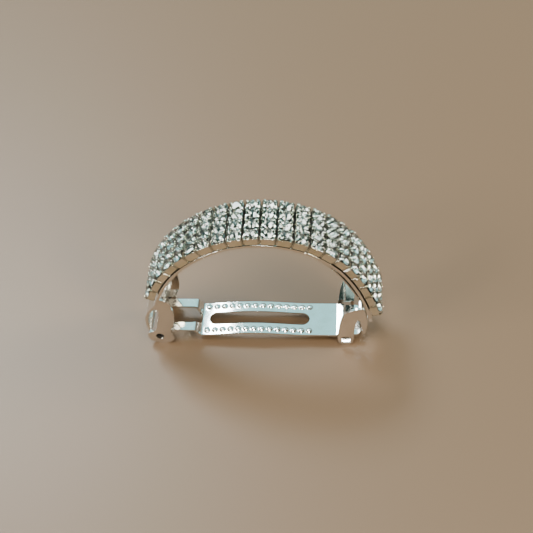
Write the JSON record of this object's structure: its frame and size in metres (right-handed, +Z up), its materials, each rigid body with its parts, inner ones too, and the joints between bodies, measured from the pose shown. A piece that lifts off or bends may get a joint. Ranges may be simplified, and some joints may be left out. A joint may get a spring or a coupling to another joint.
{
  "type": "hair clip",
  "caption": "Arched metal hair barrette covered with rows of cup-set clear crystals; a slotted arm hinges at one end and snaps into a spring clasp at the other.",
  "frame": {"origin": "centre of the clip's footprint, on the surface that it stands on", "axes": "+X along the clip from hinge to clasp, +Y from its front edge to its back edge, +Z up through the top of the arch"},
  "size_m": [0.0483, 0.01, 0.0334],
  "materials": {
    "silver_plate": "bright silver plating over stamped steel, with fine handling scratches",
    "spring_steel": "bright spring steel strip",
    "cup_metal": "bright plated claw cups",
    "crystal": "clear faceted glass with foiled backs"
  },
  "bodies": {
    "base": {"base_plate": "silver_plate", "hinge_pin": "silver_plate", "clasp_web": "silver_plate", "clasp_rivet": "silver_plate", "cup_row_1": "cup_metal", "cup_row_2": "cup_metal", "cup_row_3": "cup_metal", "cup_row_4": "cup_metal", "crystal_row_1": "crystal", "crystal_row_2": "crystal", "crystal_row_3": "crystal", "crystal_row_4": "crystal"},
    "arm": {"arm": "silver_plate"},
    "leaf": {"tension_spring": "spring_steel"},
    "clasp_front": {"clasp_front_wall": "silver_plate"},
    "clasp_rear": {"clasp_rear_wall": "silver_plate"}
  },
  "joints": [
    {"name": "arm_hinge", "type": "hinge", "parent": "base", "child": "arm", "pos_m": [-0.02165, 0, 0.0023], "axis": [0, 1, 0], "range_deg": [0, 100]},
    {"name": "spring_flex", "type": "hinge", "parent": "base", "child": "leaf", "pos_m": [0.02109, 0, 0.00774], "axis": [0, -1, 0], "range_deg": [0, 3], "stiffness_Nm_per_rad": 0.29},
    {"name": "clasp_front_flex", "type": "hinge", "parent": "base", "child": "clasp_front", "pos_m": [0.02049, -0.0046, 0.00898], "axis": [-0.1747, 0, 0.9846], "range_deg": [0, 8], "stiffness_Nm_per_rad": 0.3},
    {"name": "clasp_rear_flex", "type": "hinge", "parent": "base", "child": "clasp_rear", "pos_m": [0.02049, 0.0046, 0.00898], "axis": [0.1747, 0, -0.9846], "range_deg": [0, 8], "stiffness_Nm_per_rad": 0.3}
  ]
}
